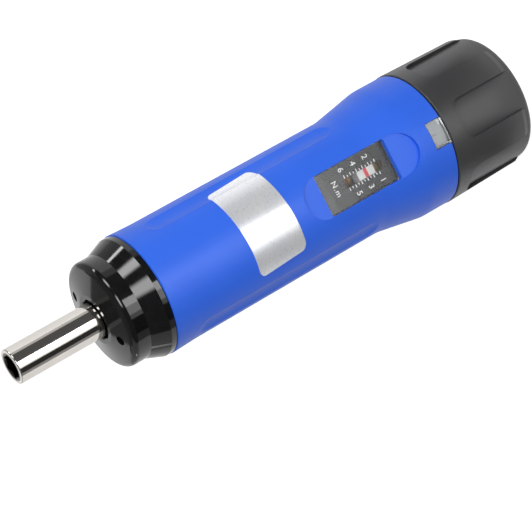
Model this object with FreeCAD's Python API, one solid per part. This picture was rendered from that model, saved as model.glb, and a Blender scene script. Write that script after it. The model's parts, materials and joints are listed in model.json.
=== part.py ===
import FreeCAD, Part
import math
import os

# Adjustable torque screwdriver, 1 to 6 N.m, with a ball clutch under a main spring.
#
# The tool stands on the flat end of its adjusting knob with the nose up. Z is the axis of the
# tool, z = 0 is the end of the knob and the scale window faces -Y. Angles round the tool are
# counted from the window towards -X. Lengths are in millimetres and angles in degrees.

Vector = FreeCAD.Vector
AXIS = Vector(0, 0, 1)
CENTRE = Vector(0, 0, 0)
tiny = 0.001

# ---------------------------------------------------------------- fits and clearances
press_gap = 0.02            # radial, pieces that are screwed, pressed or glued together
turn_gap = 0.05             # radial, a shaft in its bore
slide_gap = 0.10            # radial, a slider in its guide
clear_gap = 0.35            # pieces that turn past each other without touching
face_gap = 0.10             # axial, faces that turn or slide on each other
drop_in_gap = 0.12          # all round, a lens in its opening
edge_round = 0.4            # turned edges of the steel pieces inside
over_cut = 1.0              # how far a cut reaches past the piece that it cuts

# ---------------------------------------------------------------- adjusting knob
knob_length = 29.5
knob_proud = 0.2            # the band next to the sleeve stands this much over it
knob_rib_fall = 0.45        # the ribs taper by this much towards their rear ends
knob_recess_depth = 0.8     # of the finger recesses, at those ends
knob_recess_count = 6
knob_recess_width = 12.3
knob_recess_corner = 3.6
knob_band_length = 4.8
knob_rib_end = 3.9          # where the ribs start to fall away, from the end of the knob
knob_rib_chamfer = 1.8
knob_end_round = 1.75
knob_edge_round = 0.4
knob_to_sleeve = 0.3        # the turning joint between knob and sleeve
knob_web = 3.5
knob_cavity_depth = 9.0     # rear cavity that holds the fixing screw
knob_cavity_radius = 10.5
knob_hub_wall = 4.5         # round the adjusting screw
knob_hub_height = 17.4      # from the rear face of the web
screw_below_hub = 1.0       # the adjusting screw stops short of the washer
knob_spigot_length = 4.5    # in front of the band, inside the sleeve

# cap in the end of the knob
cap_disc_ledge = 1.5        # width of the seat round the cavity
cap_disc_thickness = 2.2
cap_disc_recess = 0.3       # how far it lies below the rim that the tool stands on
cap_disc_chamfer = 0.3

# screw and washer that hold the knob on the adjusting screw
fixing_shank_radius = 2.4
fixing_head_radius = 4.4
fixing_head_height = 3.2
fixing_socket_depth = 1.9
fixing_hex = 4.0            # across flats of the socket in its head
fixing_length = 12.0
fixing_washer_rim = 2.1     # how far it reaches past the screw's head
fixing_washer_thickness = 1.0

# graduated ring on the knob, read through the index lens
ring_wall = 1.2
ring_seat_depth = 2.0       # how deep it sits in the front face of the knob
ring_to_step = 2.5          # from the end of the ring to the step inside the sleeve

# ---------------------------------------------------------------- grip sleeve
sleeve_length = 97.8
grip_radius = 18.0
lip_height = 0.3            # the front end stands this much over the grip
lip_length = 8.0
flare_height = 2.65         # the rear end, beside the knob, stands this much over the grip
flare_length = 15.0
flare_to_rear = 9.6         # from the flare's end to the rear end of the sleeve
flare_round = 14.0
sleeve_wall = 4.0           # at the grip, over the body tube
sleeve_edge_round = 0.3
counterbore_depth = 9.2     # rear end, over the graduated ring
counterbore_wall = 1.5

flute_count = 6             # the first of the six places holds the label and the window
flute_cutter_radius = 9.0
flute_depth = 0.85
flute_to_front = 7.5        # from the front end of the sleeve
flute_to_rear = 27.3        # from the rear end of the sleeve

window_to_rear = 18.3       # from the window to the rear end of the sleeve
window_length = 24.1
window_width = 12.3
window_corner = 0.7
window_ledge = 1.6

pocket_rim = 0.2            # the pocket round the window is this much wider on each side
pocket_ahead = 6.55         # it reaches this far past the window's front edge
pocket_behind = 7.95        # and this far past its rear edge
pocket_step = 1.2          # depth of its rear end, where the floor follows the flare

# ---------------------------------------------------------------- window, scale and index
lens_thickness = 1.6
lens_below_floor = 0.08
lens_bevel = 0.25
plate_thickness = 0.6
plate_to_lens = 0.05
plate_over_tube = 0.52
plate_slot_width = 2.7

scale_pitch = 2.15          # travel for 1 N.m, which is one turn of the knob
scale_low = 1.0
scale_high = 6.0
setting = 2.8               # N.m at rest
scale_low_mark = 4.0        # from the rear edge of the window to the lowest mark
slot_overrun = 1.5          # the slot in the scale plate past its end marks

index_length = 5.5
index_width = 8.2
index_thickness = 1.35
index_below_surface = 0.05

# rating label, a blank foil sticker
label_thickness = 0.15
label_length = 16.2         # along the tool
label_chord = 27.0          # across it, seen square on
label_corner = 1.8
label_to_front = 27.8       # from the front end of the sleeve
label_angle = -11.7         # its middle, round the tool
label_skew = 3.0            # it was stuck on slightly crooked

# ---------------------------------------------------------------- body tube
tube_wall = 1.6
tube_collar_height = 2.2    # over the tube
tube_collar_length = 2.0
tube_to_hub = 0.6

# ---------------------------------------------------------------- nose
nose_ring_length = 1.9
nose_ring_inset = 0.25      # the ring lies this much lower than the sleeve's lip
nose_ring_chamfer = 0.3
nose_cone_length = 5.3
nose_cone_fall = 2.15
nose_boss_wall = 2.78       # round the bearing
nose_boss_height = 4.7
nose_web = 3.6
nose_spigot_wall = 1.58
nose_spigot_length = 11.6   # down into the tube

nose_cap_length = 7.2
nose_cap_gap = 0.7          # round the bit holder
nose_cap_flat = 1.5         # width of the flat ring round its bore
nose_cap_slope = 1.7        # fall of the front face from the flat ring to the shoulder
nose_cap_round = 2.1
nose_cap_bore_edge = 0.25   # chamfer at the front of its bore
nose_cap_lip = 1.1
spanner_hole_radius = 1.4
spanner_hole_inset = 2.0    # from the flat ring to the edge of a spanner hole
spanner_hole_angle = 44.3

# ball bearing of the spindle
bearing_bore_radius = 5.0
bearing_outer_radius = 9.5
bearing_width = 5.0
bearing_ball_count = 10
bearing_ball_radius = 1.2
bearing_track_depth = 0.52
bearing_play = 0.12

# ---------------------------------------------------------------- spindle and bit holder
holder_length = 27.5
holder_radius = 5.2
holder_root_depth = 0.5     # it starts this far inside the cap's bore
holder_rim_round = 0.3
hex_across_flats = 6.45     # for 1/4 inch hexagon bits
hex_depth = 11.8
hex_turn = 0.0
hex_mouth = 0.5             # width and depth of the lead-in round the hexagon
magnet_step = 0.325         # the magnet is this much smaller than the hexagon's flats, all round
magnet_thickness = 2.4
holder_wall = 1.6           # round the spindle's stub
spindle_stub_length = 9.0
spindle_shoulder = 1.2      # over the bearing's bore
spindle_flange_thickness = 4.5
spindle_pilot_radius = 3.5
spindle_pilot_length = 8.0
clip_thickness = 0.8
clip_depth = 0.4
clip_width = 1.3
clip_opening = 60.0         # degrees

# ---------------------------------------------------------------- clutch
front_washer_thickness = 1.8
clutch_ball_radius = 2.5
clutch_ball_count = 6
clutch_ball_rim = 1.1       # from the balls to the bore of the nose
track_depth = 0.5           # groove that the balls roll in while the clutch slips
dimple_depth = 0.5          # the pockets in that groove where they rest
cam_plate_gap = 1.0
cam_plate_thickness = 9.0
cam_lug_width = 4.0
cam_lug_height = 4.5
cam_lug_count = 2

# ---------------------------------------------------------------- main spring and adjusting screw
spring_washer_thickness = 1.5
spring_wire = 3.6
spring_to_tube = 0.4
spring_turns = 9.0
nut_length = 10.0
nut_pilot_height = 2.5
cursor_length = 5.7
cursor_width = 2.9
cursor_to_plate = 0.15
cursor_seat_depth = 1.5
key_length = 7.0
key_width = 3.9
key_seat_depth = 2.0
screw_radius = 5.0
screw_overrun = 1.5         # thread left in front of the nut at the highest setting
screw_flat_depth = 1.1      # of the two flats that drive the knob
screw_collar_height = 4.5   # over the screw
screw_collar_length = 3.5
thrust_washer_thickness = 2.0
plug_length = 9.5
grub_screw_radius = 1.5
grub_screw_length = 5.0
grub_screw_count = 3
grub_screw_socket = 1.5     # bore of the socket in its outer end
grub_socket_depth = 1.7

# ---------------------------------------------------------------- stations along the axis
z_knob_front = knob_length
z_sleeve_rear = z_knob_front + knob_to_sleeve
z_sleeve_front = z_sleeve_rear + sleeve_length
z_nose_cone = z_sleeve_front + nose_ring_length
z_nose_cap = z_nose_cone + nose_cone_length
z_cap_face = z_nose_cap + nose_cap_length
z_holder_root = z_cap_face - holder_root_depth
z_mouth = z_holder_root + holder_length

z_boss_top = z_nose_cap + nose_boss_height
z_bearing = z_boss_top - bearing_width
z_nose_web = z_bearing - nose_web
z_flange_front = z_nose_web - front_washer_thickness - face_gap
z_flange_rear = z_flange_front - spindle_flange_thickness
z_clutch_balls = z_flange_rear + track_depth - face_gap - clutch_ball_radius
z_cam_front = z_flange_rear - cam_plate_gap
z_cam_rear = z_cam_front - cam_plate_thickness
z_spring_front = z_cam_rear - spring_washer_thickness
z_nose_spigot = z_sleeve_front - nose_spigot_length

z_flare_front = z_sleeve_rear + flare_to_rear + flare_length
z_flare_rear = z_sleeve_rear + flare_to_rear
z_window_rear = z_sleeve_rear + window_to_rear
z_window_front = z_window_rear + window_length
z_low_mark = z_window_rear + scale_low_mark
z_high_mark = z_low_mark + (scale_high - scale_low) * scale_pitch
z_pointer = z_low_mark + (setting - scale_low) * scale_pitch
travel_up = z_high_mark - z_pointer
travel_down = z_pointer - z_low_mark
z_nut_front = z_pointer + cursor_length / 2
z_nut_rear = z_nut_front - nut_length

z_hub_rear = knob_cavity_depth
z_hub_front = z_hub_rear + knob_hub_height
z_tube_rear = z_hub_front + tube_to_hub
z_plug_front = z_tube_rear + plug_length
z_collar_rear = z_plug_front + thrust_washer_thickness + face_gap
z_collar_front = z_collar_rear + screw_collar_length
z_screw_front = z_nut_front + travel_up + screw_overrun
z_sleeve_step = z_sleeve_rear + counterbore_depth
z_ring_rear = z_knob_front - ring_seat_depth
z_ring_front = z_sleeve_step - ring_to_step

# ---------------------------------------------------------------- radii that follow from others
tube_outer_radius = grip_radius - sleeve_wall
tube_inner_radius = tube_outer_radius - tube_wall
sleeve_bore = tube_outer_radius + press_gap
lip_radius = grip_radius + lip_height
shoulder_radius = grip_radius + flare_height
counterbore_radius = shoulder_radius - counterbore_wall
ring_outer_radius = counterbore_radius - clear_gap
ring_inner_radius = ring_outer_radius - ring_wall
knob_spigot_radius = ring_inner_radius - press_gap
knob_bore = tube_outer_radius + clear_gap
knob_front_radius = shoulder_radius + knob_proud
knob_rib_radius = knob_front_radius - knob_rib_fall
knob_recess_radius = knob_rib_radius - knob_recess_depth
knob_hub_radius = screw_radius + knob_hub_wall
cap_disc_radius = knob_cavity_radius + cap_disc_ledge
fixing_washer_radius = fixing_head_radius + fixing_washer_rim
nose_ring_radius = lip_radius - nose_ring_inset
nose_neck_radius = nose_ring_radius - nose_cone_fall
nose_bore_radius = tube_inner_radius - press_gap - nose_spigot_wall
nose_boss_radius = bearing_outer_radius + press_gap + nose_boss_wall
nose_cap_bore = holder_radius + nose_cap_gap
nose_cap_face_radius = nose_cap_bore + nose_cap_flat
spanner_hole_circle = nose_cap_face_radius + spanner_hole_inset + spanner_hole_radius
flange_radius = nose_bore_radius - clear_gap
cam_plate_radius = nose_bore_radius - slide_gap
clutch_ball_circle = nose_bore_radius - clutch_ball_rim - clutch_ball_radius
spindle_stub_radius = holder_radius - holder_wall
spindle_shoulder_radius = bearing_bore_radius + spindle_shoulder
magnet_radius = hex_across_flats / 2 - magnet_step
screw_flat = screw_radius - screw_flat_depth
screw_collar_radius = screw_radius + screw_collar_height
spring_outer_radius = tube_inner_radius - spring_to_tube
spring_mean_radius = spring_outer_radius - spring_wire / 2
spring_inner_radius = spring_outer_radius - spring_wire
nut_radius = tube_inner_radius - slide_gap
bearing_ball_circle = (bearing_bore_radius + bearing_outer_radius) / 2
bearing_land = bearing_ball_radius + bearing_play - bearing_track_depth
plate_bottom = tube_outer_radius + plate_over_tube
plate_top = plate_bottom + plate_thickness
lens_bottom = plate_top + plate_to_lens
lens_top = lens_bottom + lens_thickness
pocket_floor = lens_top + lens_below_floor
cursor_top = plate_bottom - cursor_to_plate
flare_slope = flare_height / flare_length


# ---------------------------------------------------------------- building helpers
def rounded_wire(corners):
    """A closed wire in the XZ plane through (x, z) corners, or (x, z, radius) for a round one."""
    points = [Vector(c[0], 0, c[1]) for c in corners]
    edges = []
    starts = []
    ends = []
    for i, corner in enumerate(corners):
        here = points[i]
        back = (points[i - 1] - here).normalize()
        ahead = (points[(i + 1) % len(points)] - here).normalize()
        radius = corner[2] if len(corner) > 2 else 0
        half = back.getAngle(ahead) / 2
        reach = radius / math.tan(half)
        starts.append(here + back * reach)
        ends.append(here + ahead * reach)
        if radius > 0:
            middle = (back + ahead).normalize()
            depth = radius / math.sin(half) - radius
            edges.append(Part.Arc(starts[i], here + middle * depth, ends[i]).toShape())
        else:
            edges.append(None)
    wire = []
    for i, arc in enumerate(edges):
        if arc is not None:
            wire.append(arc)
        following = starts[(i + 1) % len(points)]
        if (following - ends[i]).Length > 1e-6:
            wire.append(Part.LineSegment(ends[i], following).toShape())
    return Part.Wire(wire)


def turned(*corners):
    """A solid of revolution round the axis from its half section, given as (radius, z) corners."""
    return Part.Face(rounded_wire(corners)).revolve(CENTRE, AXIS, 360)


def rod(radius, low, high):
    return Part.makeCylinder(radius, high - low, Vector(0, 0, low))


def pipe(inner, outer, low, high):
    return turned((inner, low), (outer, low), (outer, high), (inner, high))


def round_the_tool(shape, angle):
    """Turn a shape that was made at the window side, which is -Y, round to another place."""
    copy = shape.copy()
    copy.rotate(CENTRE, AXIS, -angle)
    return copy


def ring_of(shape, count, first=0.0):
    return [round_the_tool(shape, first + i * 360.0 / count) for i in range(count)]


def window_block(width, low, high, bottom, top, corner=0.0):
    """A block at the window side: its width across, its ends along Z and its heights over the axis."""
    half = width / 2
    across = [(-half, low), (half, low), (half, high), (-half, high)]
    outline = rounded_wire([(x, z, corner) for x, z in across])
    block = Part.Face(outline).extrude(Vector(0, -(top - bottom), 0))
    block.translate(Vector(0, -bottom, 0))
    return block


def hexagon(across_flats, low, high, turn=0.0):
    corner = across_flats / math.sqrt(3)
    points = []
    for i in range(7):
        angle = math.radians(turn + i * 60)
        points.append(Vector(corner * math.sin(angle), -corner * math.cos(angle), low))
    return Part.Face(Part.makePolygon(points)).extrude(Vector(0, 0, high - low))


def ball(radius, circle, z):
    return Part.makeSphere(radius, Vector(0, -circle, z))


# ---------------------------------------------------------------- grip sleeve and what it carries
def sleeve_skin(grow=0.0):
    """The outside of the grip sleeve as a solid, with its flutes, grown outwards by a thickness."""
    front = z_sleeve_front
    skin = turned(
        (0, z_sleeve_rear),
        (shoulder_radius + grow, z_sleeve_rear, sleeve_edge_round),
        (shoulder_radius + grow, z_flare_rear, flare_round),
        (grip_radius + grow, z_flare_front, flare_round),
        (grip_radius + grow, front - lip_length),
        (lip_radius + grow, front, sleeve_edge_round),
        (0, front),
    )
    cutter = flute_cutter_radius
    reach = grip_radius + grow + cutter - flute_depth
    run_out = math.sqrt(cutter ** 2 - (reach - grip_radius - grow) ** 2)
    high = front - flute_to_front - run_out
    low = z_sleeve_rear + flute_to_rear + run_out
    groove = Part.makeCylinder(cutter, high - low, Vector(0, -reach, low))
    for z in (low, high):
        groove = groove.fuse(Part.makeSphere(cutter, Vector(0, -reach, z)))
    for flute in ring_of(groove, flute_count)[1:]:
        skin = skin.cut(flute)
    return skin


def pocket_cutter():
    """The pocket round the window. Its flat floor turns up along the flare at the rear end."""
    high = z_window_front + pocket_ahead
    low = z_window_rear - pocket_behind
    outside = shoulder_radius + over_cut
    pocket_width = window_width + 2 * pocket_rim
    prism = window_block(pocket_width, low, high, 0, outside, pocket_width / 2 - tiny)
    bend_z = z_flare_front - (pocket_floor + pocket_step - grip_radius) / flare_slope
    rear_floor = pocket_floor + (bend_z - low) * flare_slope
    side = [(pocket_floor, high), (pocket_floor, bend_z), (rear_floor, low)]
    side += [(outside, low), (outside, high)]
    points = [Vector(-pocket_width, -height, z) for height, z in side]
    outline = Part.makePolygon(points + points[:1])
    over_floor = Part.Face(outline).extrude(Vector(2 * pocket_width, 0, 0))
    return prism.common(over_floor)


def window_hole(extra, bottom, top, corner):
    """A block of the window's own outline, larger all round by an allowance."""
    low = z_window_rear - extra
    high = z_window_front + extra
    return window_block(window_width + 2 * extra, low, high, bottom, top, corner)


def make_grip_sleeve():
    outside = shoulder_radius + over_cut
    sleeve = sleeve_skin()
    sleeve = sleeve.cut(rod(sleeve_bore, z_sleeve_rear, z_sleeve_front))
    sleeve = sleeve.cut(rod(counterbore_radius, z_sleeve_rear, z_sleeve_step))
    sleeve = sleeve.cut(pocket_cutter())
    sleeve = sleeve.cut(window_hole(drop_in_gap, plate_bottom, outside, window_corner))
    sleeve = sleeve.cut(window_hole(-window_ledge, 0, outside, window_corner))
    sleeve = sleeve.cut(cursor_slot(plate_bottom))
    rear = z_sleeve_rear - over_cut
    notch = window_block(index_width, rear, z_sleeve_rear + index_length, 0, outside)
    return sleeve.cut(notch)


def make_window_lens():
    lens = window_hole(0, lens_bottom, lens_top, window_corner)
    rim = [edge for edge in lens.Edges if all(abs(v.Y + lens_top) < 1e-6 for v in edge.Vertexes)]
    return lens.makeChamfer(lens_bevel, rim)


def make_scale_plate():
    plate = window_hole(0, plate_bottom, plate_top, window_corner)
    low = z_low_mark - slot_overrun
    high = z_high_mark + slot_overrun
    return plate.cut(window_block(plate_slot_width, low, high, 0, plate_top + over_cut))


def make_index_lens():
    outer = shoulder_radius - index_below_surface
    width = index_width - 2 * drop_in_gap
    front = z_sleeve_rear + index_length - drop_in_gap
    block = window_block(width, z_sleeve_rear, front, 0, outer + over_cut)
    return block.common(pipe(outer - index_thickness, outer, z_sleeve_rear, z_sleeve_step))


def make_label():
    middle = z_sleeve_front - label_to_front - label_length / 2
    low = middle - label_length / 2
    high = middle + label_length / 2
    outline = window_block(label_chord, low, high, 0, lip_radius + over_cut, label_corner)
    outline.rotate(Vector(0, 0, middle), Vector(0, -1, 0), label_skew)
    outline = round_the_tool(outline, label_angle)
    return sleeve_skin(label_thickness).cut(sleeve_skin()).common(outline)


# ---------------------------------------------------------------- body tube and its rear plug
def travel_slot(width, low, high, reach):
    """The room that a piece of the nut, which lies between low and high at rest, moves in."""
    bottom = low - travel_down - slide_gap - face_gap
    top = high + travel_up + slide_gap + face_gap
    return window_block(width + 2 * slide_gap, bottom, top, 0, reach)


def cursor_slot(reach):
    return travel_slot(cursor_width, z_nut_front - cursor_length, z_nut_front, reach)


def key_slot(reach):
    half = key_length / 2
    slot = travel_slot(key_width, key_middle() - half, key_middle() + half, reach)
    return round_the_tool(slot, 180)


def make_body_tube():
    tube = turned(
        (tube_inner_radius, z_tube_rear),
        (tube_outer_radius, z_tube_rear),
        (tube_outer_radius, z_sleeve_step - tube_collar_length),
        (tube_outer_radius + tube_collar_height, z_sleeve_step - tube_collar_length),
        (tube_outer_radius + tube_collar_height, z_sleeve_step),
        (tube_outer_radius, z_sleeve_step),
        (tube_outer_radius, z_sleeve_front),
        (tube_inner_radius, z_sleeve_front),
    )
    outside = tube_outer_radius + over_cut
    tube = tube.cut(cursor_slot(outside)).cut(key_slot(outside))
    for hole in grub_screws(grub_screw_radius, 0, outside):
        tube = tube.cut(hole)
    return tube


def grub_screws(radius, bottom, top):
    """Rods on the places of the screws that hold the rear plug in the tube."""
    z = (z_tube_rear + z_plug_front) / 2
    screw = Part.makeCylinder(radius, top - bottom, Vector(0, -bottom, z), Vector(0, -1, 0))
    return ring_of(screw, grub_screw_count, 60)


def make_end_plug():
    bore = screw_radius + turn_gap
    plug = pipe(bore, tube_inner_radius - press_gap, z_tube_rear, z_plug_front)
    for hole in grub_screws(grub_screw_radius, grub_foot(), tube_inner_radius + over_cut):
        plug = plug.cut(hole)
    return plug


def grub_foot():
    return tube_outer_radius - grub_screw_length - press_gap


def make_plug_screws():
    head = tube_outer_radius - press_gap
    screws = grub_screws(grub_screw_radius - press_gap, grub_foot(), head)
    sockets = grub_screws(grub_screw_socket / 2, head - grub_socket_depth, head + over_cut)
    return [screw.cut(socket) for screw, socket in zip(screws, sockets)]


def make_thrust_washer():
    front = z_plug_front + thrust_washer_thickness
    return pipe(screw_radius + turn_gap, screw_collar_radius, z_plug_front, front)


# ---------------------------------------------------------------- nose
def make_nose_housing():
    boss_bore = bearing_outer_radius + press_gap
    housing = turned(
        (nose_bore_radius, z_nose_spigot),
        (tube_inner_radius - press_gap, z_nose_spigot),
        (tube_inner_radius - press_gap, z_sleeve_front),
        (nose_ring_radius - nose_ring_chamfer, z_sleeve_front),
        (nose_ring_radius, z_sleeve_front + nose_ring_chamfer),
        (nose_ring_radius, z_nose_cone),
        (nose_neck_radius, z_nose_cap),
        (nose_boss_radius, z_nose_cap),
        (nose_boss_radius, z_boss_top),
        (boss_bore, z_boss_top),
        (boss_bore, z_bearing),
        (spindle_shoulder_radius + clear_gap, z_bearing),
        (spindle_shoulder_radius + clear_gap, z_nose_web),
        (nose_bore_radius, z_nose_web),
    )
    slot_top = z_cam_rear + cam_lug_height + cam_plate_gap
    slot_rear = z_nose_spigot - over_cut
    slot_width = cam_lug_width + 2 * slide_gap
    slot = window_block(slot_width, slot_rear, slot_top, 0, tube_inner_radius)
    for lug_slot in ring_of(slot, cam_lug_count, 90):
        housing = housing.cut(lug_slot)
    return housing


def make_nose_cap():
    radius = nose_neck_radius
    ceiling = z_boss_top + face_gap
    clip_room = bearing_bore_radius + clip_width + clear_gap
    cap = turned(
        (nose_boss_radius + press_gap, z_nose_cap),
        (radius, z_nose_cap),
        (radius, z_cap_face - nose_cap_slope, nose_cap_round),
        (nose_cap_face_radius, z_cap_face),
        (nose_cap_bore + nose_cap_bore_edge, z_cap_face),
        (nose_cap_bore, z_cap_face - nose_cap_bore_edge),
        (nose_cap_bore, z_cap_face - nose_cap_lip),
        (clip_room, z_cap_face - nose_cap_lip),
        (clip_room, ceiling),
        (nose_boss_radius + press_gap, ceiling),
    )
    hole = rod(spanner_hole_radius, ceiling - over_cut, z_cap_face + over_cut)
    hole.translate(Vector(0, -spanner_hole_circle, 0))
    for spanner_hole in ring_of(hole, 2, spanner_hole_angle):
        cap = cap.cut(spanner_hole)
    return cap


def bearing_track():
    """The ring that the bearing balls roll through, as a solid."""
    radius = bearing_ball_radius + bearing_play
    return Part.makeTorus(bearing_ball_circle, radius, Vector(0, 0, z_bearing + bearing_width / 2))


def make_bearing_outer_ring():
    inner = bearing_ball_circle + bearing_land
    return pipe(inner, bearing_outer_radius, z_bearing, z_boss_top).cut(bearing_track())


def make_bearing_inner_ring():
    outer = bearing_ball_circle - bearing_land
    return pipe(bearing_bore_radius + press_gap, outer, z_bearing, z_boss_top).cut(bearing_track())


def make_bearing_balls():
    middle = z_bearing + bearing_width / 2
    return ring_of(ball(bearing_ball_radius, bearing_ball_circle, middle), bearing_ball_count)


def make_front_washer():
    inner = spindle_shoulder_radius + clear_gap
    outer = nose_bore_radius - press_gap
    return pipe(inner, outer, z_nose_web - front_washer_thickness, z_nose_web)


# ---------------------------------------------------------------- spindle and bit holder
def make_output_spindle():
    clip_groove = z_boss_top
    neck = bearing_bore_radius - clip_depth
    spindle = turned(
        (0, z_flange_rear - spindle_pilot_length),
        (spindle_pilot_radius, z_flange_rear - spindle_pilot_length, edge_round),
        (spindle_pilot_radius, z_flange_rear),
        (flange_radius, z_flange_rear),
        (flange_radius, z_flange_front),
        (spindle_shoulder_radius, z_flange_front),
        (spindle_shoulder_radius, z_bearing),
        (bearing_bore_radius, z_bearing),
        (bearing_bore_radius, clip_groove),
        (neck, clip_groove),
        (neck, z_holder_root),
        (spindle_stub_radius, z_holder_root),
        (spindle_stub_radius, z_holder_root + spindle_stub_length, edge_round),
        (0, z_holder_root + spindle_stub_length),
    )
    track_z = z_flange_rear + track_depth - clutch_ball_radius
    track = Part.makeTorus(clutch_ball_circle, clutch_ball_radius, Vector(0, 0, track_z))
    spindle = spindle.cut(track)
    dimple = ball(clutch_ball_radius, clutch_ball_circle, track_z + dimple_depth)
    for place in ring_of(dimple, clutch_ball_count):
        spindle = spindle.cut(place)
    return spindle


def make_spindle_clip():
    inner = bearing_bore_radius - clip_depth + press_gap
    outer = bearing_bore_radius + clip_width
    clip = pipe(inner, outer, z_boss_top, z_boss_top + clip_thickness)
    reach = outer + over_cut
    half_width = reach * math.tan(math.radians(clip_opening / 2))
    corners = [CENTRE, Vector(-half_width, -reach, 0), Vector(half_width, -reach, 0)]
    opening = Part.Face(Part.makePolygon(corners + corners[:1])).extrude(AXIS * z_mouth)
    return clip.cut(opening)


def make_bit_holder():
    hex_floor = z_mouth - hex_depth
    hex_corner = hex_across_flats / math.sqrt(3)
    holder = turned(
        (0, z_holder_root),
        (holder_radius, z_holder_root, holder_rim_round),
        (holder_radius, z_mouth, holder_rim_round),
        (0, z_mouth),
    )
    stub_end = z_holder_root + spindle_stub_length + press_gap
    holder = holder.cut(rod(spindle_stub_radius + press_gap, z_holder_root, stub_end))
    holder = holder.cut(hexagon(hex_across_flats, hex_floor, z_mouth + over_cut, hex_turn))
    lead_in = turned((0, z_mouth - hex_mouth), (hex_corner - hex_mouth, z_mouth - hex_mouth),
                     (hex_corner + over_cut, z_mouth + over_cut), (0, z_mouth + over_cut))
    holder = holder.cut(lead_in)
    return holder.cut(rod(magnet_radius + press_gap, hex_floor - magnet_thickness, hex_floor))


def make_bit_magnet():
    hex_floor = z_mouth - hex_depth
    return rod(magnet_radius, hex_floor - magnet_thickness, hex_floor)


# ---------------------------------------------------------------- clutch and main spring
def make_cam_plate():
    plate = pipe(spindle_pilot_radius + turn_gap, cam_plate_radius, z_cam_rear, z_cam_front)
    lug_reach = tube_inner_radius - slide_gap
    lug_front = z_cam_rear + cam_lug_height
    lug = window_block(cam_lug_width, z_cam_rear, lug_front, clutch_ball_circle, lug_reach)
    lug = lug.common(rod(lug_reach, z_cam_rear, z_cam_front))
    for piece in ring_of(lug, cam_lug_count, 90):
        plate = plate.fuse(piece)
    pocket_radius = clutch_ball_radius + press_gap
    pocket = rod(pocket_radius, z_clutch_balls, z_cam_front + over_cut)
    pocket.translate(Vector(0, -clutch_ball_circle, 0))
    pocket = pocket.fuse(ball(pocket_radius, clutch_ball_circle, z_clutch_balls))
    for hole in ring_of(pocket, clutch_ball_count):
        plate = plate.cut(hole)
    return plate.removeSplitter()


def make_clutch_balls():
    return ring_of(ball(clutch_ball_radius, clutch_ball_circle, z_clutch_balls), clutch_ball_count)


def make_spring_washer():
    return pipe(spindle_pilot_radius + clear_gap, spring_outer_radius, z_spring_front, z_cam_rear)


def make_main_spring():
    """A coil of round wire with both ends ground flat."""
    length = z_spring_front - z_nut_front
    pitch = length / spring_turns
    helix = Part.makeHelix(pitch, length + 2 * pitch, spring_mean_radius)
    helix.translate(Vector(0, 0, z_nut_front - pitch))
    start = Vector(spring_mean_radius, 0, z_nut_front - pitch)
    along = Vector(0, 2 * math.pi * spring_mean_radius, pitch)
    section = Part.Wire(Part.makeCircle(spring_wire / 2, start, along))
    coil = Part.Wire(helix).makePipeShell([section], True, True)
    room = rod(tube_inner_radius, z_nut_front, z_spring_front)
    return coil.common(room)


# ---------------------------------------------------------------- nut, cursor and adjusting screw
def key_middle():
    return (z_nut_front + z_nut_rear) / 2


def cursor_block(extra, bottom, top):
    low = z_nut_front - cursor_length - extra
    return window_block(cursor_width + 2 * extra, low, z_nut_front, bottom, top)


def key_block(extra, bottom, top):
    half = key_length / 2 + extra
    block = window_block(key_width + 2 * extra, key_middle() - half, key_middle() + half, bottom, top)
    return round_the_tool(block, 180)


def make_adjusting_nut():
    pilot = spring_inner_radius - clear_gap
    nut = turned(
        (screw_radius + turn_gap, z_nut_rear),
        (nut_radius, z_nut_rear, edge_round),
        (nut_radius, z_nut_front),
        (pilot, z_nut_front),
        (pilot, z_nut_front + nut_pilot_height, edge_round),
        (screw_radius + turn_gap, z_nut_front + nut_pilot_height),
    )
    outside = nut_radius + over_cut
    nut = nut.cut(cursor_block(press_gap, nut_radius - cursor_seat_depth, outside))
    return nut.cut(key_block(press_gap, nut_radius - key_seat_depth, outside))


def make_cursor():
    return cursor_block(0, nut_radius - cursor_seat_depth, cursor_top)


def make_guide_key():
    outer = tube_outer_radius - slide_gap
    block = key_block(0, nut_radius - key_seat_depth, outer)
    return block.common(rod(outer, 0, z_mouth))


def make_adjusting_screw():
    foot = z_hub_rear + screw_below_hub
    screw = turned(
        (0, foot),
        (screw_radius, foot),
        (screw_radius, z_collar_rear),
        (screw_collar_radius, z_collar_rear),
        (screw_collar_radius, z_collar_front, edge_round),
        (screw_radius, z_collar_front),
        (screw_radius, z_screw_front, edge_round),
        (0, z_screw_front),
    )
    flat = window_block(2 * screw_radius, foot, z_hub_front, screw_flat, 2 * screw_radius)
    for side in ring_of(flat, 2):
        screw = screw.cut(side)
    return screw.cut(rod(fixing_shank_radius + press_gap, foot, z_hub_rear + fixing_length))


# ---------------------------------------------------------------- knob
def double_d(extra, low, high):
    """The section of the adjusting screw where it drives the knob."""
    shaft = rod(screw_radius + extra, low, high)
    half = screw_flat + extra
    return shaft.common(Part.makeBox(4 * half, 2 * half, high - low, Vector(-2 * half, -half, low)))


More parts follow.
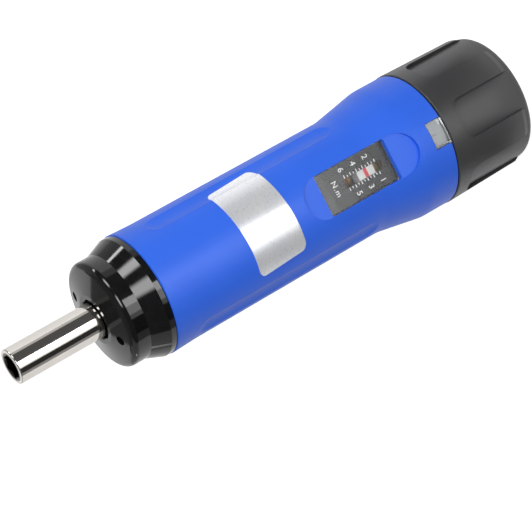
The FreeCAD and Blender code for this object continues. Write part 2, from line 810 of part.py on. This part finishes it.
def make_knob():
    rib_chamfer_end = knob_rib_end - knob_rib_chamfer
    knob = turned(
        (0, 0),
        (knob_recess_radius, 0, knob_end_round),
        (knob_recess_radius, rib_chamfer_end),
        (knob_rib_radius, knob_rib_end),
        (knob_front_radius, z_knob_front, knob_edge_round),
        (ring_outer_radius + press_gap, z_knob_front),
        (ring_outer_radius + press_gap, z_ring_rear),
        (knob_spigot_radius, z_ring_rear),
        (knob_spigot_radius, z_knob_front + knob_spigot_length),
        (knob_bore, z_knob_front + knob_spigot_length),
        (knob_bore, z_hub_rear + knob_web),
        (knob_hub_radius, z_hub_rear + knob_web),
        (knob_hub_radius, z_hub_front),
        (0, z_hub_front),
    )
    recess_front = z_knob_front - knob_band_length
    half = knob_recess_width / 2
    outline = [(-half, -over_cut), (half, -over_cut)]
    outline += [(side * half, recess_front, knob_recess_corner) for side in (1, -1)]
    outside = knob_front_radius + over_cut
    recess = Part.Face(rounded_wire(outline)).extrude(Vector(0, -outside, 0))
    recess = recess.cut(rod(knob_recess_radius, -2 * over_cut, z_knob_front))
    for place in ring_of(recess, knob_recess_count):
        knob = knob.cut(place)
    cap_seat = cap_disc_recess + cap_disc_thickness
    knob = knob.cut(rod(cap_disc_radius + press_gap, -over_cut, cap_seat))
    knob = knob.cut(rod(knob_cavity_radius, -over_cut, z_hub_rear))
    return knob.cut(double_d(press_gap, z_hub_rear - over_cut, z_hub_front + over_cut))


def make_knob_cap():
    low = cap_disc_recess
    high = low + cap_disc_thickness
    radius = cap_disc_radius
    chamfer = cap_disc_chamfer
    return turned((0, low), (radius - chamfer, low), (radius, low + chamfer), (radius, high), (0, high))


def make_knob_screw():
    head_front = z_hub_rear - fixing_washer_thickness
    head_rear = head_front - fixing_head_height
    screw = turned(
        (0, head_rear),
        (fixing_head_radius, head_rear, edge_round),
        (fixing_head_radius, head_front),
        (fixing_shank_radius, head_front),
        (fixing_shank_radius, head_front + fixing_length, edge_round),
        (0, head_front + fixing_length),
    )
    return screw.cut(hexagon(fixing_hex, head_rear - over_cut, head_rear + fixing_socket_depth))


def make_knob_washer():
    rear = z_hub_rear - fixing_washer_thickness
    return pipe(fixing_shank_radius + turn_gap, fixing_washer_radius, rear, z_hub_rear)


def make_graduated_ring():
    return pipe(ring_inner_radius, ring_outer_radius, z_ring_rear, z_ring_front)


# ---------------------------------------------------------------- the set of pieces
pieces = {
    "grip_sleeve": make_grip_sleeve,
    "window_lens": make_window_lens,
    "scale_plate": make_scale_plate,
    "index_lens": make_index_lens,
    "rating_label": make_label,
    "body_tube": make_body_tube,
    "end_plug": make_end_plug,
    "plug_screws": make_plug_screws,
    "thrust_washer": make_thrust_washer,
    "nose_housing": make_nose_housing,
    "nose_cap": make_nose_cap,
    "bearing_outer_ring": make_bearing_outer_ring,
    "bearing_inner_ring": make_bearing_inner_ring,
    "bearing_balls": make_bearing_balls,
    "front_washer": make_front_washer,
    "output_spindle": make_output_spindle,
    "spindle_clip": make_spindle_clip,
    "bit_holder": make_bit_holder,
    "bit_magnet": make_bit_magnet,
    "cam_plate": make_cam_plate,
    "clutch_balls": make_clutch_balls,
    "spring_washer": make_spring_washer,
    "main_spring": make_main_spring,
    "adjusting_nut": make_adjusting_nut,
    "cursor": make_cursor,
    "guide_key": make_guide_key,
    "adjusting_screw": make_adjusting_screw,
    "knob": make_knob,
    "graduated_ring": make_graduated_ring,
    "knob_cap": make_knob_cap,
    "knob_screw": make_knob_screw,
    "knob_washer": make_knob_washer,
}

os.makedirs("parts", exist_ok=True)
for name, make in pieces.items():
    made = make()
    if isinstance(made, list):
        made = Part.makeCompound(made)
    made.exportStep(f"parts/{name}.step")
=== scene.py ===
"""Torque screwdriver: finishes, printed marks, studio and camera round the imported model."""

import json
import math

import bmesh
import bpy
from mathutils import Matrix, Quaternion, Vector


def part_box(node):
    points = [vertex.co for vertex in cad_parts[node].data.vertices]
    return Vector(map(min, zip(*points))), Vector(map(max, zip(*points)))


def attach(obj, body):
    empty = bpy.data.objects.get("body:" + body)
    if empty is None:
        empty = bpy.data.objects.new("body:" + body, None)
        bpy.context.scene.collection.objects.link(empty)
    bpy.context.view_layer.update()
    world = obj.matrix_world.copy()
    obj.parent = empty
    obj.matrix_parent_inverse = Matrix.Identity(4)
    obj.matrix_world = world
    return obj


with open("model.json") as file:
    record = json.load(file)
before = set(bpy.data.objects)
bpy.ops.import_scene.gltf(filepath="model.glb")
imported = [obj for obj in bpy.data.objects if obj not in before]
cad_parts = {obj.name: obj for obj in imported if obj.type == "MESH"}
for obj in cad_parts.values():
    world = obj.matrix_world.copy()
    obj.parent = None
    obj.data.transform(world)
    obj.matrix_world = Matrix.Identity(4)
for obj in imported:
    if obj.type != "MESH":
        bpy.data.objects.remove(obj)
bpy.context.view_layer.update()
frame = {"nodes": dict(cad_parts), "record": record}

mm = 0.001


# ---------------------------------------------------------------------------------------------
# Node building
# ---------------------------------------------------------------------------------------------


def add(tree, kind, values=None, **settings):
    """Adds a shader node. Each value is a plain value or the output that feeds that input."""
    node = tree.nodes.new("ShaderNode" + kind)
    for name, value in settings.items():
        setattr(node, name, value)
    for name, value in (values or {}).items():
        if isinstance(value, bpy.types.NodeSocket):
            tree.links.new(value, node.inputs[name])
        else:
            node.inputs[name].default_value = value
    return node


def start_finish(name, colour, roughness, metallic=0.0, **more):
    """A new finish: returns the material, its node tree, its shader and the piece's own place."""
    material = bpy.data.materials.new(name)
    material.use_nodes = True
    tree = material.node_tree
    tree.nodes.clear()
    values = {"Base Color": (*colour, 1.0), "Roughness": roughness, "Metallic": metallic}
    values.update({key.replace("_", " "): value for key, value in more.items()})
    shader = add(tree, "BsdfPrincipled", values)
    add(tree, "OutputMaterial", {"Surface": shader.outputs[0]})
    place = add(tree, "TexCoord").outputs["Object"]
    return material, tree, shader, place


def speckle(tree, place, size, detail=2.0, roughness=0.5):
    """Even noise whose lumps are about `size` metres across."""
    return add(
        tree,
        "TexNoise",
        {"Vector": place, "Scale": 1.0 / size, "Detail": detail, "Roughness": roughness},
    ).outputs[0]


def between(tree, share, low, high, start=0.3, end=0.7):
    """Turns a share into a number between low and high."""
    return add(
        tree,
        "MapRange",
        {"Value": share, "From Min": start, "From Max": end, "To Min": low, "To Max": high},
    ).outputs[0]


def blend_colours(tree, share, first, second, start=0.3, end=0.7):
    """Colour that goes from first to second as the share goes from start to end."""
    ramp = add(tree, "ValToRGB", {"Fac": share})
    ramp.color_ramp.elements[0].position = start
    ramp.color_ramp.elements[0].color = (*first, 1.0)
    ramp.color_ramp.elements[1].position = end
    ramp.color_ramp.elements[1].color = (*second, 1.0)
    return ramp.outputs[0]


def times(tree, first, second):
    return add(tree, "Math", {0: first, 1: second}, operation="MULTIPLY").outputs[0]


def plus(tree, first, second):
    return add(tree, "Math", {0: first, 1: second}, operation="ADD").outputs[0]


def raise_surface(tree, shader, height, depth, under=None):
    """Feeds a height pattern to the shader's normal; returns the normal for a second pattern."""
    values = {"Height": height, "Distance": depth, "Strength": 1.0}
    if under is not None:
        values["Normal"] = under
    normal = add(tree, "Bump", values).outputs[0]
    tree.links.new(normal, shader.inputs["Normal"])
    return normal


def feed(tree, value, shader, name):
    tree.links.new(value, shader.inputs[name])


def axis_distance(tree, parts):
    """Distance from the tool's axis, from a place's separate parts."""
    flat = add(tree, "CombineXYZ", {"X": parts.outputs["X"], "Y": parts.outputs["Y"]})
    return add(tree, "VectorMath", {0: flat.outputs[0]}, operation="LENGTH").outputs["Value"]


def turned_place(tree, place, pitch):
    """Coordinates for turning marks: rings round the Z axis, on sides and on flat ends alike."""
    parts = add(tree, "SeparateXYZ", {"Vector": place})
    radius = axis_distance(tree, parts)
    angle = add(tree, "Math", {0: parts.outputs["Y"], 1: parts.outputs["X"]}, operation="ARCTAN2")
    return add(
        tree,
        "CombineXYZ",
        {
            "X": times(tree, radius, 1.0 / pitch),
            "Y": times(tree, angle.outputs[0], 0.6),
            "Z": times(tree, parts.outputs["Z"], 1.0 / pitch),
        },
    ).outputs[0]


# ---------------------------------------------------------------------------------------------
# Finishes
# ---------------------------------------------------------------------------------------------


def moulded_plastic(name, colour, lighter, roughness, index, grain, grain_depth, dust=0.0):
    """Moulded plastic: spark-eroded grain, slow shade changes and, if asked for, dust specks."""
    material, tree, shader, place = start_finish(name, colour, roughness, IOR=index)
    slow = speckle(tree, place, 14 * mm, detail=1.0)
    shade = blend_colours(tree, slow, colour, lighter)
    fine = speckle(tree, place, grain, detail=3.0, roughness=0.6)
    if dust:
        specks = add(tree, "TexVoronoi", {"Vector": place, "Scale": 1 / (9 * mm)}, feature="F1")
        near = between(tree, specks.outputs["Distance"], 1.0, 0.0, 0.010, 0.022)
        pale = (0.6, 0.6, 0.6, 1.0)
        share = times(tree, near, dust)
        shade = add(tree, "MixRGB", {"Fac": share, "Color1": shade, "Color2": pale}).outputs[0]
    feed(tree, shade, shader, "Base Color")
    feed(tree, between(tree, fine, roughness - 0.05, roughness + 0.07), shader, "Roughness")
    raise_surface(tree, shader, fine, grain_depth)
    return material


def turned_metal(name, colour, roughness, pitch=0.12 * mm, depth=0.6e-6, stain=0.93):
    """Turned bare metal: fine rings from the tool, slight stains and grain."""
    material, tree, shader, place = start_finish(name, colour, roughness, metallic=1.0)
    rings = speckle(tree, turned_place(tree, place, pitch), 1.0, detail=2.0)
    slow = speckle(tree, place, 5 * mm, detail=3.0)
    darker = tuple(part * stain for part in colour)
    feed(tree, blend_colours(tree, slow, darker, colour), shader, "Base Color")
    feed(tree, between(tree, rings, roughness * 0.8, roughness * 1.25), shader, "Roughness")
    raise_surface(tree, shader, rings, depth)
    return material


def nickel_holder(name, colour, dark, roughness, bore):
    """Nickel plate outside; the socket walls in the bore get a dark base colour: painted shade for
    the dim hollow.
    """
    material = turned_metal(name, colour, roughness, 0.14 * mm, 0.5e-6)
    tree = material.node_tree
    shader = next(node for node in tree.nodes if node.type == "BSDF_PRINCIPLED")
    plate = shader.inputs["Base Color"].links[0].from_socket
    place = add(tree, "TexCoord").outputs["Object"]
    radius = axis_distance(tree, add(tree, "SeparateXYZ", {"Vector": place}))
    # Painted shade: the base colour turns to the dark colour on the socket walls in the bore.
    bore_shade_share = between(tree, radius, 1.0, 0.0, bore - 0.15 * mm, bore)
    mixed = add(tree, "MixRGB", {"Fac": bore_shade_share, "Color1": plate, "Color2": (*dark, 1.0)})
    feed(tree, mixed.outputs[0], shader, "Base Color")
    return material


def blackened_steel(name, colour, roughness, pitch, depth):
    """Polished black finish over turned steel: clear reflections with faint tool rings."""
    material, tree, shader, place = start_finish(name, colour, roughness, IOR=1.52)
    rings = speckle(tree, turned_place(tree, place, pitch), 1.0, detail=2.0)
    slow = speckle(tree, place, 4 * mm, detail=2.0)
    lighter = tuple(part * 1.8 for part in colour)
    feed(tree, blend_colours(tree, slow, colour, lighter), shader, "Base Color")
    feed(tree, between(tree, rings, roughness * 0.7, roughness * 1.4), shader, "Roughness")
    raise_surface(tree, shader, rings, depth)
    return material


def clear_plastic(name, colour, wear):
    """Clear polished plastic with faint wiping marks."""
    material, tree, shader, place = start_finish(
        name, colour, 0.02, IOR=1.49, Transmission_Weight=1.0
    )
    streaks = add(tree, "Mapping", {"Vector": place, "Scale": (900.0, 900.0, 90.0)}).outputs[0]
    marks = speckle(tree, streaks, 1.0, detail=3.0)
    feed(tree, between(tree, marks, 0.01, 0.01 + wear, 0.45, 0.8), shader, "Roughness")
    return material


def painted_plate(name, colour, roughness):
    """Thin satin paint: light orange peel and slow shade changes."""
    material, tree, shader, place = start_finish(name, colour, roughness, IOR=1.5)
    peel = speckle(tree, place, 0.5 * mm, detail=2.0)
    slow = speckle(tree, place, 3 * mm, detail=1.0)
    lighter = tuple(part * 1.2 for part in colour)
    feed(tree, blend_colours(tree, slow, colour, lighter), shader, "Base Color")
    feed(tree, between(tree, peel, roughness * 0.93, roughness * 1.07), shader, "Roughness")
    raise_surface(tree, shader, peel, 0.3e-6)
    return material


def foil_sticker(name):
    """Silver-white foil: it mirrors the studio softly, with fine brushing and small ripples."""
    material, tree, shader, place = start_finish(
        name, (0.90, 0.91, 0.94), 0.28, metallic=0.50, IOR=1.5
    )
    slow = speckle(tree, place, 6 * mm, detail=1.0)
    feed(
        tree,
        blend_colours(tree, slow, (0.87, 0.89, 0.94), (0.92, 0.925, 0.94)),
        shader,
        "Base Color",
    )
    brushing = add(tree, "Mapping", {"Vector": place, "Scale": (700.0, 700.0, 9000.0)}).outputs[0]
    lines = speckle(tree, brushing, 1.0, detail=2.0)
    feed(tree, between(tree, lines, 0.27, 0.31), shader, "Roughness")
    ripples = raise_surface(tree, shader, speckle(tree, place, 5 * mm, 1.0), 0.03 * mm)
    raise_surface(tree, shader, lines, 0.08e-6, under=ripples)
    return material


def printed_ink(name, colour, roughness=0.55):
    """Screen-printed ink: edges a little thin, grain of the screen."""
    material, tree, shader, place = start_finish(name, colour, roughness, IOR=1.5)
    patches = speckle(tree, place, 0.12 * mm, detail=2.0)
    thinner = tuple(part * 0.86 for part in colour)
    feed(tree, blend_colours(tree, patches, thinner, colour), shader, "Base Color")
    feed(tree, between(tree, patches, roughness - 0.05, roughness + 0.1), shader, "Roughness")
    raise_surface(tree, shader, patches, 1e-6)
    return material


finishes = {
    "blue_grip": moulded_plastic(
        "blue_moulded_grip",
        colour=(0.020, 0.132, 0.80),
        lighter=(0.024, 0.140, 0.83),
        roughness=0.42,
        index=1.40,
        grain=0.35 * mm,
        grain_depth=3e-6,
    ),
    "knob_black": moulded_plastic(
        "black_moulded_knob",
        colour=(0.038, 0.038, 0.040),
        lighter=(0.046, 0.046, 0.048),
        roughness=0.42,
        index=1.60,
        grain=0.45 * mm,
        grain_depth=9e-6,
        dust=0.8,
    ),
    "clear_lens": clear_plastic("clear_lens", (0.97, 0.98, 0.98), 0.04),
    "scale_black": painted_plate("black_scale_paint", (0.008, 0.008, 0.009), 0.30),
    "silver_foil": foil_sticker("silver_foil"),
    "gloss_black": blackened_steel(
        "polished_black", (0.0035, 0.0035, 0.004), 0.08, 0.25 * mm, 0.4e-6
    ),
    # Its second colour is painted shade for the socket walls in the bore.
    "satin_nickel": nickel_holder(
        "nickel_plate", (0.72, 0.685, 0.645), (0.10, 0.09, 0.08), 0.09, 4.3 * mm
    ),
    "tube_aluminium": turned_metal(
        "turned_aluminium", (0.80, 0.81, 0.82), 0.34, 0.2 * mm, 1.5e-6
    ),
    "hardened_steel": turned_metal("ground_steel", (0.50, 0.50, 0.51), 0.30),
    "bearing_steel": turned_metal("bearing_steel", (0.68, 0.69, 0.71), 0.10, 0.08 * mm, 0.2e-6),
    "spring_steel": turned_metal("oiled_spring_steel", (0.36, 0.36, 0.37), 0.28),
    "black_steel": painted_plate("black_oxide", (0.03, 0.03, 0.03), 0.45),
    "bronze": turned_metal("turned_bronze", (0.62, 0.42, 0.20), 0.32),
    "magnet": turned_metal("magnet_plating", (0.55, 0.55, 0.56), 0.25),
    "white_cursor": printed_ink("white_cursor", (0.80, 0.80, 0.79), 0.40),
    "ring_aluminium": turned_metal("ring_aluminium", (0.24, 0.25, 0.26), 0.38, 0.2 * mm, 1.2e-6),
}

for entry in frame["record"]["subparts"]:
    piece = frame["nodes"][entry["node"]]
    piece.data.materials.clear()
    piece.data.materials.append(finishes[entry["material_slot"]])


# ---------------------------------------------------------------------------------------------
# Printed marks
# ---------------------------------------------------------------------------------------------


def keep_piece(shape, name, finish, body):
    """Makes a piece of the finished shape and hangs it on its body."""
    bmesh.ops.recalc_face_normals(shape, faces=shape.faces)
    mesh = bpy.data.meshes.new(name)
    shape.to_mesh(mesh)
    shape.free()
    mesh.materials.append(finish)
    piece = bpy.data.objects.new(name, mesh)
    bpy.context.scene.collection.objects.link(piece)
    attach(piece, body)
    return piece


def add_bar(shape, width, depth, length, place):
    """A thin rounded bar of ink or metal: width along X, depth along Y, length along Z."""
    made = bmesh.ops.create_cube(
        shape, size=1.0, matrix=place @ Matrix.Diagonal((width, depth, length, 1.0))
    )
    edges = {edge for corner in made["verts"] for edge in corner.link_edges}
    bmesh.ops.bevel(
        shape,
        geom=list(edges),
        offset=min(width, depth, length) * 0.3,
        offset_type="OFFSET",
        affect="EDGES",
        segments=2,
        profile=0.5,
        material=-1,
    )


def add_words(shape, words, height, place, spread=1.0):
    """Adds letters of the given height as a thin mesh, centred on the place and facing its Z."""
    curve = bpy.data.curves.new("letters", "FONT")
    curve.body = words
    curve.align_x = "CENTER"
    curve.align_y = "CENTER"
    curve.size = 1.0
    curve.space_character = spread
    curve.resolution_u = 4
    curve.extrude = 0.006
    letters = bpy.data.objects.new("letters", curve)
    bpy.context.scene.collection.objects.link(letters)
    bpy.context.view_layer.update()
    mesh = bpy.data.meshes.new_from_object(
        letters.evaluated_get(bpy.context.evaluated_depsgraph_get())
    )
    bpy.data.objects.remove(letters)
    low = min(v.co.y for v in mesh.vertices)
    high = max(v.co.y for v in mesh.vertices)
    left = min(v.co.x for v in mesh.vertices)
    right = max(v.co.x for v in mesh.vertices)
    size = height / (high - low)
    mesh.transform(
        place
        @ Matrix.Scale(size, 4)
        @ Matrix.Translation((-(left + right) / 2, -(low + high) / 2, 0))
    )
    shape.from_mesh(mesh)
    bpy.data.meshes.remove(mesh)


# The print reads with its head towards the knob, and lies on the scale plate under the lens.
plate_low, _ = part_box("scale_plate")
print_face = plate_low.y - 0.012 * mm
print_turn = Matrix(((-1, 0, 0, 0), (0, 0, -1, 0), (0, -1, 0, 0), (0, 0, 0, 1)))
first_mark = 52.10 * mm
mark_pitch = 2.15 * mm
print_shift = 0.30 * mm  # the print lies this much nearer the nose than the travel's own marks
mark_inner_edge = 1.45 * mm
digit_offset = 4.15 * mm


def on_plate(sideways, height):
    return Matrix.Translation((sideways, print_face, height + print_shift))


ink = printed_ink("white_print", (0.95, 0.95, 0.95))
marks = bmesh.new()
for half_step in range(11):
    height = first_mark + mark_pitch * half_step / 2
    long_mark = half_step % 2 == 0
    reach = 0.95 * mm if long_mark else 0.60 * mm
    for side in (-1, 1):
        middle = side * (mark_inner_edge + reach / 2)
        add_bar(marks, reach, 0.02 * mm, 0.24 * mm, on_plate(middle, height))
for value in range(1, 7):
    side = 1 if value % 2 == 0 else -1
    place = on_plate(side * digit_offset, first_mark + mark_pitch * (value - 1)) @ print_turn
    add_words(marks, str(value), 1.80 * mm, place)
add_words(marks, "N.m", 1.70 * mm, on_plate(0.0, 66.7 * mm) @ print_turn, 1.15)
keep_piece(marks, "scale_print", ink, "body")

cursor_low, cursor_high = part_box("cursor")
pointer_height = (cursor_low.z + cursor_high.z) / 2
line = bmesh.new()
add_bar(
    line,
    (cursor_high.x - cursor_low.x) * 0.96,
    0.03 * mm,
    1.15 * mm,
    Matrix.Translation((0.0, cursor_low.y - 0.005 * mm, pointer_height)),
)
red = printed_ink("red_line", (0.80, 0.07, 0.09), 0.45)
keep_piece(line, "cursor_line", red, "carriage")

# Fine graduations round the knob's ring: fifty small steps to a turn, every fifth one long.
ring_low, ring_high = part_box("graduated_ring")
ring_radius = ring_high.x
rings = bmesh.new()
for step in range(50):
    length = (3.4 if step % 5 == 0 else 2.0) * mm
    turn = Matrix.Rotation(math.radians(7.2 * step), 4, "Z")
    place = turn @ Matrix.Translation(
        (0.0, -ring_radius - 0.002 * mm, ring_high.z - 0.4 * mm - length / 2)
    )
    add_bar(rings, 0.22 * mm, 0.02 * mm, length, place)
dark_ink = printed_ink("black_fill", (0.02, 0.02, 0.02), 0.5)
keep_piece(rings, "ring_marks", dark_ink, "knob")


# ---------------------------------------------------------------------------------------------
# Studio
# ---------------------------------------------------------------------------------------------


def link(piece):
    bpy.context.scene.collection.objects.link(piece)
    return piece


def floor_finish():
    """Pale floor. It shows white to the camera and in reflections, and keeps a soft shadow."""
    material = bpy.data.materials.new("studio_floor")
    material.use_nodes = True
    tree = material.node_tree
    tree.nodes.clear()
    place = add(tree, "TexCoord").outputs["Object"]
    paper = speckle(tree, place, 2 * mm, detail=2.0)
    shade = blend_colours(tree, paper, (0.86,) * 3, (0.88,) * 3)
    sheet = add(tree, "BsdfDiffuse", {"Color": shade})
    path = add(tree, "LightPath")
    reflected = plus(tree, path.outputs["Is Glossy Ray"], path.outputs["Is Transmission Ray"])
    direct = times(tree, path.outputs["Is Camera Ray"], 0.80)
    shown = plus(tree, direct, times(tree, reflected, 0.50))
    glow = add(tree, "Emission", {"Color": (1.0, 1.0, 1.0, 1.0), "Strength": shown})
    both = add(tree, "AddShader", {0: sheet.outputs[0], 1: glow.outputs[0]})
    add(tree, "OutputMaterial", {"Surface": both.outputs[0]})
    return material


def stage_piece(name, shape, finish):
    """Makes a studio object of the shape. It isn't part of the tool."""
    mesh = bpy.data.meshes.new(name)
    shape.to_mesh(mesh)
    shape.free()
    mesh.materials.append(finish)
    piece = link(bpy.data.objects.new(name, mesh))
    return piece


floor_shape = bmesh.new()
bmesh.ops.create_circle(floor_shape, cap_ends=True, segments=96, radius=6.0)
stage_piece("floor", floor_shape, floor_finish())


def glow_finish(name, strength):
    material = bpy.data.materials.new(name)
    material.use_nodes = True
    tree = material.node_tree
    tree.nodes.clear()
    glow = add(tree, "Emission", {"Color": (1.0, 1.0, 1.0, 1.0), "Strength": strength})
    add(tree, "OutputMaterial", {"Surface": glow.outputs[0]})
    return material


def soft_glow_finish(name, strength, solid=0.35):
    """A glow that fades out towards all edges of a card one unit wide and high."""
    material = glow_finish(name, strength)
    tree = material.node_tree
    parts = add(tree, "SeparateXYZ", {"Vector": add(tree, "TexCoord").outputs["Object"]})
    shares = []
    for side in ("X", "Y"):
        away = add(tree, "Math", {0: parts.outputs[side]}, operation="ABSOLUTE").outputs[0]
        fade = add(
            tree,
            "MapRange",
            {"Value": away, "From Min": 0.5, "From Max": 0.5 * solid, "To Min": 0.0, "To Max": 1.0},
            interpolation_type="SMOOTHSTEP",
        )
        shares.append(fade.outputs[0])
    glow = next(node for node in tree.nodes if node.type == "EMISSION")
    feed(tree, times(tree, times(tree, *shares), strength), glow, "Strength")
    return material


def only_in_reflections(card):
    """A studio card that shows in glossy surfaces and neither lights the tool nor shades it."""
    card.visible_camera = False
    card.visible_diffuse = False
    card.visible_transmission = False
    card.visible_volume_scatter = False
    card.visible_shadow = False
    return card


# Angles round the tool are counted from the camera's side, positive towards -X.
camera_spot = (0.05055, -0.54492, 0.33955)
camera_side = math.atan2(camera_spot[0], -camera_spot[1])


def around(angle, distance, height):
    turn = math.radians(angle) - camera_side
    return Vector((-math.sin(turn) * distance, -math.cos(turn) * distance, height))


def swept_card(name, start, end, line, steps, strength):
    """Sweeps a line of two points round the tool's axis, from one angle to another."""
    shape = bmesh.new()
    ends = [shape.verts.new(point) for point in line]
    edge = shape.edges.new(ends)
    bmesh.ops.spin(
        shape,
        geom=[*ends, edge],
        cent=(0, 0, 0),
        axis=(0, 0, 1),
        angle=-math.radians(end - start),
        steps=steps,
        use_merge=False,
    )
    return only_in_reflections(stage_piece(name, shape, glow_finish(name, strength)))


def floor_card(name, start, end, near, far, strength, height=1 * mm):
    """A flat sector that lies on the floor in front of the tool, between two angles."""
    line = (around(start, near, height), around(start, far, height))
    return swept_card(name, start, end, line, max(4, int(abs(end - start) / 3)), strength)


def standing_strip(name, angle, distance, width, low, high, strength):
    """A narrow upright strip light that only glossy surfaces show."""
    shape = bmesh.new()
    middle = around(angle, distance, (low + high) / 2)
    bmesh.ops.create_grid(shape, x_segments=1, y_segments=1, size=0.5)
    strip = stage_piece(name, shape, soft_glow_finish(name, strength))
    face = Vector((-middle.x, -middle.y, 0.0)).to_track_quat("Z", "Y").to_matrix().to_4x4()
    strip.matrix_world = (
        Matrix.Translation(middle) @ face @ Matrix.Diagonal((width, high - low, 1.0, 1.0))
    )
    return only_in_reflections(strip)


def dark_wall(name, start, end, distance, low, high, strength):
    """An upright curved card that stands for the unlit room round the studio."""
    line = (around(start, distance, low), around(start, distance, high))
    return swept_card(name, start, end, line, 24, strength)


def ceiling_flag(name, radius, height, strength):
    """A level disc over the tool that keeps the ceiling dim in reflections."""
    shape = bmesh.new()
    bmesh.ops.create_circle(
        shape, cap_ends=True, segments=48, radius=radius, matrix=Matrix.Translation((0, 0, height))
    )
    return only_in_reflections(stage_piece(name, shape, glow_finish(name, strength)))


# These cards glow only in reflections: they paint the highlights and the dim bands on the glossy
# and metal parts. The flags, walls and ceiling are dim glowing cards, not cards that block light.
floor_card("near_strip", -9, 24, 0.03, 0.098, 1.8, 2 * mm)
floor_card("lens_glow_low", 3, 18, 0.122, 0.134, 0.5, 3 * mm)
floor_card("lens_glow_middle", 3, 18, 0.134, 0.148, 1.2, 3 * mm)
floor_card("lens_glow_high", 3, 18, 0.148, 0.165, 1.9, 3 * mm)
floor_card("front_strip", -7, 8, 0.165, 0.62, 6.0, 2 * mm)
floor_card("front_strip_edge", 8, 25, 0.165, 0.62, 3.0, 2 * mm)
floor_card("front_strip_fade", 25, 34, 0.165, 0.62, 1.2, 2 * mm)
floor_card("near_flag", -70, 80, 0.03, 0.165, 0.10)
floor_card("right_flag", -62, -7, 0.165, 0.62, 0.10)
floor_card("right_edge", -78, -62, 0.165, 0.62, 0.60)
floor_card("left_flag", 34, 66, 0.165, 0.62, 0.03)
floor_card("left_edge", 66, 84, 0.165, 0.62, 0.30)
standing_strip("side_strip_far", -92, 0.5, 0.075, 0.12, 0.34, 11.0)
standing_strip("side_strip_middle", -53, 0.5, 0.230, 0.16, 0.44, 8.5)
standing_strip("side_strip_near", -9, 0.5, 0.300, 0.20, 0.52, 7.5)
standing_strip("side_strip_left", 116, 0.5, 0.08, 0.12, 0.30, 3.0)
dark_wall("room_behind_camera", -88, 84, 0.62, 0.5 * mm, 0.75, 0.10)
dark_wall("room_right", -150, -88, 0.62, 0.12, 0.75, 0.45)
dark_wall("room_left", 84, 150, 0.62, 0.12, 0.75, 0.60)
ceiling_flag("ceiling", 1.5, 1.15, 0.22)


def soft_lamp(name, angle, elevation, distance, size, power, aim_height=0.08):
    """A square soft box aimed at the tool. Reflections come from the cards, not from the lamps."""
    light = bpy.data.lights.new(name, "AREA")
    light.shape = "SQUARE"
    light.size = size
    light.energy = power
    lamp = link(bpy.data.objects.new(name, light))
    rise = math.radians(elevation)
    lamp.location = around(angle, distance * math.cos(rise), aim_height + distance * math.sin(rise))
    aim = Vector((0.0, 0.0, aim_height)) - lamp.location
    lamp.rotation_mode = "QUATERNION"
    lamp.rotation_quaternion = aim.to_track_quat("-Z", "Y")
    lamp.visible_glossy = False
    return lamp


soft_lamp("key_lamp", -24, 30, 1.1, 0.7, 8.2)
soft_lamp("fill_lamp", 60, 25, 1.3, 0.9, 1.0)
soft_lamp("top_lamp", 10, 80, 1.3, 1.0, 2.0)

world = bpy.data.worlds.new("studio_air")
bpy.context.scene.world = world
world.use_nodes = True
air = world.node_tree
air.nodes.clear()
path = add(air, "LightPath")
seen = plus(air, path.outputs["Is Camera Ray"], path.outputs["Is Glossy Ray"])
seen = plus(air, seen, path.outputs["Is Transmission Ray"])
level = between(air, seen, 0.25, 1.0, 0.0, 1.0)
background = add(air, "Background", {"Color": (1.0, 1.0, 1.0, 1.0), "Strength": level})
add(air, "OutputWorld", {"Surface": background.outputs[0]})


# ---------------------------------------------------------------------------------------------
# Camera
# ---------------------------------------------------------------------------------------------

camera_place = Vector(camera_spot)
camera_aim = Vector((-0.01049, 0.0, 0.08967))
camera_roll = -119.96

camera_data = bpy.data.cameras.new("camera")
camera_data.sensor_width = 36.0
camera_data.lens = 145.49
camera_data.clip_start = 0.02
camera_data.clip_end = 30.0
camera = link(bpy.data.objects.new("camera", camera_data))
camera.location = camera_place
camera.rotation_mode = "QUATERNION"
camera.rotation_quaternion = (camera_aim - camera_place).to_track_quat("-Z", "Y") @ Quaternion(
    (0.0, 0.0, 1.0), math.radians(camera_roll)
)
bpy.context.scene.camera = camera
bpy.context.scene.view_settings.view_transform = "Standard"
